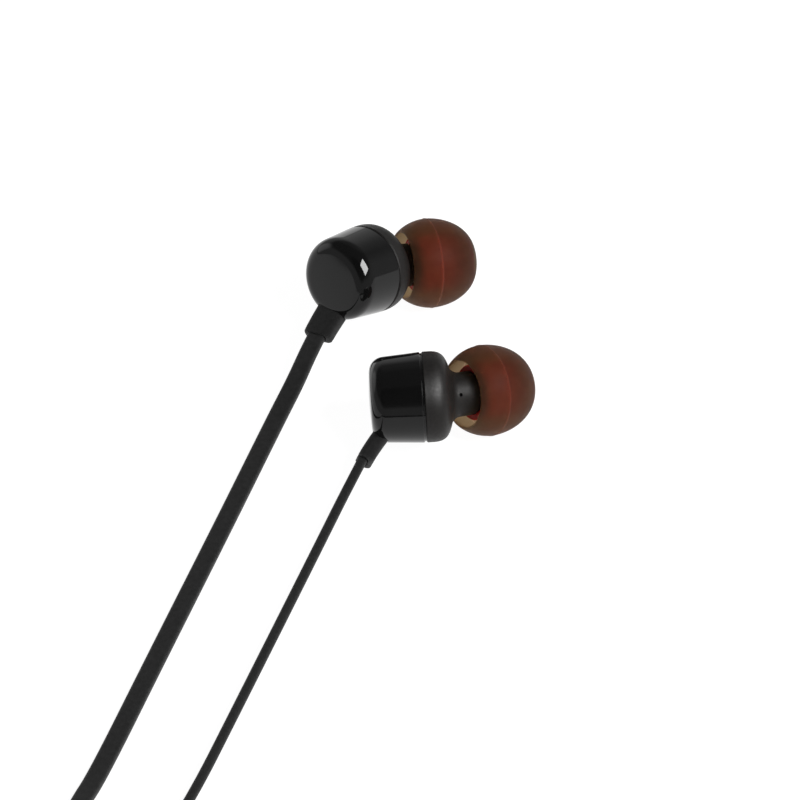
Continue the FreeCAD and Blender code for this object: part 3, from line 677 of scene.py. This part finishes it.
def rear_shell(name):
    """The glossy barrel: a crowned back, soft corner and slow taper, opened for the boot."""
    rim = [(0.0, BARREL_R - 0.12), (-0.035, BARREL_R - 0.05)]
    side = [(-0.12, BARREL_R), (BACK_CORNER_X, BACK_R)]
    corner = arc_points((BACK_CORNER_X, FLAT_R), CORNER_R, 90, 180, 24)
    dome_r = (FLAT_R**2 + CROWN**2) / (2 * CROWN)
    crown = []
    for i in range(21):
        r = FLAT_R * (1 - i / 20)
        crown.append((BACK_X + dome_r - math.sqrt(dome_r**2 - r**2), r))
    outer = eased([(x, r, 0) for x, r in side + corner[1:] + crown[1:]], 0.12, 8)
    outer = [(x, r) for x, r, _ in outer[:-1]] + [(BACK_X, 0.0)]
    inner = [(-6.22, 0.0), (-6.22, 3.3), (-5.9, 4.2), (-4.85, 4.89), (0.0, 5.21)]
    lap = [(0.0, 5.53), (0.22, 5.53), (0.22, 5.8), (0.0, 5.8)]   # fills most of the seam's depth
    shell = lathe(name + "_barrel", rim + outer + inner + lap, bud_place(name),
                  MATERIALS["shell_gloss"], 192, 30)
    cutter = boot_sweep(name, name + "_boot_hole", 0.05, [i / 10 for i in range(-2, 8)],
                        MATERIALS["shell_gloss"])
    cut = shell.modifiers.new("hole", "BOOLEAN")
    cut.operation = "DIFFERENCE"
    cut.solver = "EXACT"
    cut.object = cutter
    bpy.context.view_layer.update()
    mesh = bpy.data.meshes.new_from_object(shell.evaluated_get(bpy.context.evaluated_depsgraph_get()))
    shell.modifiers.clear()
    shell.data = mesh
    mesh.set_sharp_from_angle(angle=math.radians(30))
    bpy.data.objects.remove(cutter)
    piece(shell, "shell_gloss", "earphones", name + "_rear_shell")


def ear_tip(name):
    """A silicone tip: a thin skirt with its fine parting line, and the stem inside it."""
    place = nozzle_place(name, TIP_OUT[name])
    widest, r, wall = 7.1, 6.0, 0.45
    rim_out, rim_in = (3.68, 4.72), (3.73, 4.37)
    middle = (5.365, 5.654)
    rear = arc_through(rim_out, middle, (widest, r), 22)
    parting = [(widest + 0.03, r + 0.05), (widest + 0.1, r + 0.055), (widest + 0.16, r + 0.025)]

    outer_length, inner_length, tip_r = 6.25, 5.65, 1.7

    def dome(radius, length, degrees):
        a = math.radians(degrees)
        return (widest + length * math.sin(a), tip_r + (radius - tip_r) * math.cos(a))

    front = [dome(r + 0.02 * math.cos(math.radians(d)), outer_length, d) for d in range(3, 77, 3)]
    end = dome(r, outer_length, 76)
    mouth = [(end[0] + 0.02, end[1] - 0.18), (end[0] - 0.04, end[1] - 0.42), (end[0] - 0.35, 2.1)]
    bore = [(12.4, 2.1), (12.4, 3.7)]
    inside = [dome(r - wall, inner_length, d) for d in range(58, -1, -4)]
    root = [(inside[0][0], 3.7)]
    back = arc_through((widest, r - wall), (middle[0], middle[1] - wall), rim_in, 16)
    lip = [(3.62, 4.45), (3.585, 4.56), (3.61, 4.66)]
    outline = rear + parting + front + mouth + bore + root + inside + back[1:] + lip
    skirt = lathe(name + "_tip_skirt", outline, place, MATERIALS["tip_skirt"], 160, 50)
    piece(skirt, "tip_skirt", name + "_ear_tip", name + "_ear_tip_skirt")

    outline = [
        (4.9, 2.95), (4.93, 2.86), (5.05, 2.8), (9.15, 2.8), (9.15, 2.1), (12.38, 2.1), (12.38, 3.7),
        (5.3, 3.7), (5.12, 3.68), (4.98, 3.6), (4.91, 3.48), (4.9, 3.35),
    ]
    stem = lathe(name + "_tip_stem", outline, place, MATERIALS["tip_stem"], 128, 50)
    piece(stem, "tip_stem", name + "_ear_tip", name + "_ear_tip_stem")


BOOT_SHARES = [-0.12, 0, 0.1, 0.2, 0.3, 0.4, 0.5, 0.6, 0.7, 0.8, 0.87]
for bud in BUDS:
    rear_shell(bud)
    boot = boot_sweep(bud, bud + "_boot", 0, BOOT_SHARES, MATERIALS["boot_rubber"], mouth=True)
    piece(boot, "boot_rubber", "earphones", bud + "_strain_relief")
    ear_tip(bud)


# ------------------------------------------------------------------ splitter, plug and tie
def splitter():
    """The moulded Y where two cords become one, narrower towards the single cord."""
    place = Matrix.Translation((-0.0106, -0.1068, 0.0018)) @ turned(154)
    # along it, its width and its thickness
    shape = [
        (0.0, 4.6, 2.4), (0.12, 5.3, 2.9), (0.5, 5.9, 3.3), (1.2, 6.3, 3.5), (2.6, 6.55, 3.6),
        (5.0, 6.5, 3.6), (7.5, 6.1, 3.55), (9.6, 5.4, 3.45), (10.4, 5.1, 3.4), (10.5, 4.7, 3.0),
        (10.9, 4.6, 2.95), (11.0, 4.9, 3.3), (11.8, 4.6, 3.2), (11.9, 4.2, 2.85), (12.3, 4.1, 2.8),
        (12.4, 4.4, 3.1), (13.3, 4.0, 2.95), (13.8, 3.7, 2.7), (14.0, 3.3, 2.3),
    ]
    axis = place.to_3x3() @ Vector((1, 0, 0))
    wide = place.to_3x3() @ Vector((0, 1, 0))
    points = [place @ Vector((x * MM, 0, 0)) for x, _, _ in shape]
    sections = [rounded(w, t, min(1.1, t / 2 - 0.05), 6) for _, w, t in shape]
    made = sweep("cord_splitter", points, [wide] * len(points), sections, MATERIALS["moulded_rubber"],
                 along=[axis] * len(points), sharp=35)
    return piece(made, "moulded_rubber", "earphones", "splitter")


def plug_pieces():
    """The plug's ribbed relief and its handle with three grip grooves."""
    place = Matrix.Translation((0.0046, -0.1248, 0.00275)) @ turned(80)
    relief = [(0.0, 1.25), (0.1, 1.38), (0.7, 1.45)]
    for k in range(5):
        x = 1.0 + 1.3 * k
        r = 1.45 + 0.09 * x
        relief += [
            (x, r), (x + 0.08, r - 0.3), (x + 0.45, r - 0.28), (x + 0.53, r + 0.05), (x + 0.9, r + 0.08),
        ]
    relief += [(7.9, 2.0), (7.9, 0.0), (0.0, 0.0)]
    made = lathe("plug_boot", relief, place, MATERIALS["moulded_rubber"], 64, 35)
    boot = piece(made, "moulded_rubber", "earphones", "plug_relief")
    handle = [(8.0, 0.0), (8.0, 2.2), (8.06, 2.4), (8.25, 2.6), (8.6, 2.73), (9.0, 2.75)]
    for k in range(3):
        x = 10.0 + 1.2 * k
        handle += [(x, 2.75), (x + 0.12, 2.6), (x + 0.5, 2.6), (x + 0.62, 2.75)]
    handle += [
        (22.3, 2.75), (22.7, 2.7), (22.92, 2.55), (23.0, 2.3), (23.0, 1.42), (21.5, 1.42), (21.5, 0.0),
    ]
    made = lathe("plug_grip", handle, place, MATERIALS["moulded_rubber"], 96, 35)
    grip = piece(made, "moulded_rubber", "earphones", "plug_handle")
    return [boot, grip]


def tie():
    """A soft strap round the coil and the two cords beside it, with its stud on top."""
    place = Matrix.Translation(COIL_CENTRE) @ turned(235)
    corners = [(9.0, 0.2), (27.9, 0.2), (27.9, 3.3), (22.6, 5.75), (9.0, 5.75)]
    corners = [Vector((*c, 0)) for c in corners]
    round_off = 0.9
    line = []
    for i, here in enumerate(corners):
        before, after = corners[i - 1], corners[(i + 1) % len(corners)]
        one = here + (before - here).normalized() * round_off
        two = here + (after - here).normalized() * round_off
        for k in range(7):
            t = k / 6
            line.append(one * (1 - t) ** 2 + here * (2 * t * (1 - t)) + two * t**2)
    points = [place @ Vector((p.x * MM, 0, p.y * MM)) for p in line]
    wide = place.to_3x3() @ Vector((0, 1, 0))
    strap = sweep("tie_strap", points, [wide] * len(points), [rounded(7.0, 0.4, 0.17)] * len(points),
                  MATERIALS["tie_silicone"], closed=True, sharp=35)
    strap = piece(strap, "tie_silicone", "earphones", "cord_tie")
    stud_place = place @ Matrix.Translation((0.0135, 0, 0.00592)) @ turned(0, 90)
    button = [(0, 0), (0, 1.5), (0.12, 1.75), (0.38, 1.7), (0.5, 1.5), (0.56, 0.9), (0.56, 0)]
    stud = lathe("tie_stud", button, stud_place, MATERIALS["tie_silicone"], 48, 35)
    return [strap, piece(stud, "tie_silicone", "earphones")]


SPLITTER = splitter()
PLUG = plug_pieces()
TIE = tie()

# ------------------------------------------------------------------ the cords themselves
LEFT_ACROSS = bud_place("left").to_3x3() @ Vector((0, 1, 0))
RIGHT_ACROSS = bud_place("right").to_3x3() @ Vector((0, 1, 0))

flat_cord("left_flat_cord", LEFT_ROUTE,
          [(0, LEFT_ACROSS), (0.006, LEAN), (0.08, LEAN), (0.1, UP), (-0.001, UP)],
          ["left_cord"])
flat_cord("right_flat_cord", RIGHT_ROUTE, [(0, RIGHT_ACROSS), (0.014, None), (-0.001, None)],
          ["right_cord_upper"])
flat_cord("remote_flat_cord", LOWER_ROUTE, [(0, None), (0.018, UP), (-0.001, UP)],
          ["right_cord_lower"])
flat_cord("main_flat_cord", MAIN_ROUTE, [(0, UP), (-0.001, UP)],
          ["main_cord_start", "main_cord_coil", "main_cord_end"], resolution=5)


# ------------------------------------------------------------------ floor, light
def table_glow(material):
    """The light table's glow: full near the object, weaker far away from it."""
    place = node(material, "ShaderNodeTexCoord")
    far = node(material, "ShaderNodeVectorMath", operation="LENGTH")
    link(material, place.outputs["Object"], far.inputs[0])
    glow = node(material, "ShaderNodeMapRange", interpolation_type="SMOOTHSTEP")
    for socket, value in (("From Min", 0.14), ("From Max", 0.6), ("To Min", 0.95), ("To Max", 0.3)):
        glow.inputs[socket].default_value = value
    link(material, far.outputs["Value"], glow.inputs["Value"])
    return glow.outputs["Result"]


def make_floor():
    """A light table: it glows a little and takes what falls on it."""
    bpy.ops.mesh.primitive_plane_add(size=4, location=(0, 0, 0))
    floor = bpy.context.object
    floor.name = "floor"
    pale = principled("floor_pale", grey(0.25), 0.7, Specular_IOR_Level=0.1)
    mottled(pale, 60, grey(0.24), grey(0.26))
    shader_of(pale).inputs["Emission Color"].default_value = (1, 1, 1, 1)
    link(pale, table_glow(pale), shader_of(pale).inputs["Emission Strength"])
    floor.data.materials.append(pale)


def heading(azimuth, elevation):
    """The direction at this azimuth, clockwise from +Y, and elevation in degrees."""
    a, e = math.radians(azimuth), math.radians(elevation)
    return Vector((math.sin(a) * math.cos(e), math.cos(a) * math.cos(e), math.sin(e)))


def lobe(world, azimuth, elevation, inner, outer, inside, outside):
    """A round patch of sky: its value inside, outside, and soft between the two angles."""
    place = node(world, "ShaderNodeTexCoord")
    dot = node(world, "ShaderNodeVectorMath", operation="DOT_PRODUCT")
    dot.inputs[1].default_value = heading(azimuth, elevation)
    link(world, place.outputs["Generated"], dot.inputs[0])
    made = node(world, "ShaderNodeMapRange", interpolation_type="SMOOTHSTEP")
    made.inputs["From Min"].default_value = math.cos(math.radians(outer))
    made.inputs["From Max"].default_value = math.cos(math.radians(inner))
    made.inputs["To Min"].default_value = outside
    made.inputs["To Max"].default_value = inside
    link(world, dot.outputs["Value"], made.inputs["Value"])
    return made.outputs["Result"]


def combined(world, operation, a, b):
    made = node(world, "ShaderNodeMath", operation=operation)
    link(world, a, made.inputs[0])
    link(world, b, made.inputs[1])
    return made.outputs["Value"]


LIGHT_DISTANCE = 0.7


def area_light(name, location, size, size_y, power):
    """A rectangular light turned to the origin."""
    data = bpy.data.lights.new(name, "AREA")
    data.shape = "RECTANGLE"
    data.size, data.size_y = size, size_y
    data.energy = power
    light = bpy.data.objects.new(name, data)
    light.location = location
    light.rotation_euler = (-location).to_track_quat("-Z", "Y").to_euler()
    bpy.context.scene.collection.objects.link(light)
    return light


def make_light():
    """A dark ceiling over a pale horizon, two brighter patches, a dark one and two softboxes."""
    world = bpy.data.worlds.new("studio")
    bpy.context.scene.world = world
    world.use_nodes = True
    ceiling = lobe(world, 0, 90, 55, 72, 0.13, 0.5)
    far_wall = lobe(world, 10, 28, 22, 38, 0.1, 0.0)
    side_card = lobe(world, -65, 8, 10, 24, 0.9, 0.0)
    dark_card = lobe(world, -165, 45, 20, 32, 0.25, 1.0)
    sky = combined(world, "ADD", combined(world, "ADD", ceiling, far_wall), side_card)
    sky = combined(world, "MULTIPLY", sky, dark_card)
    link(world, sky, world.node_tree.nodes["Background"].inputs["Strength"])
    world.node_tree.nodes["Background"].inputs["Color"].default_value = (1, 1, 1, 1)
    key = area_light("key", heading(123, 49) * LIGHT_DISTANCE, 0.32, 0.22, 3.3)
    key.visible_glossy = False
    shine = area_light("shine", heading(127, 52) * LIGHT_DISTANCE, 0.54, 0.36, 16.5)
    shine.visible_diffuse = False
    shine.visible_transmission = False
    shells = bpy.data.collections.new("shells")
    for obj in bpy.context.scene.objects:
        if obj.name.endswith(("_barrel", "_front_shell")):
            shells.objects.link(obj)
    shine.light_linking.receiver_collection = shells
    bpy.context.scene.view_settings.view_transform = "Standard"


make_floor()
make_light()
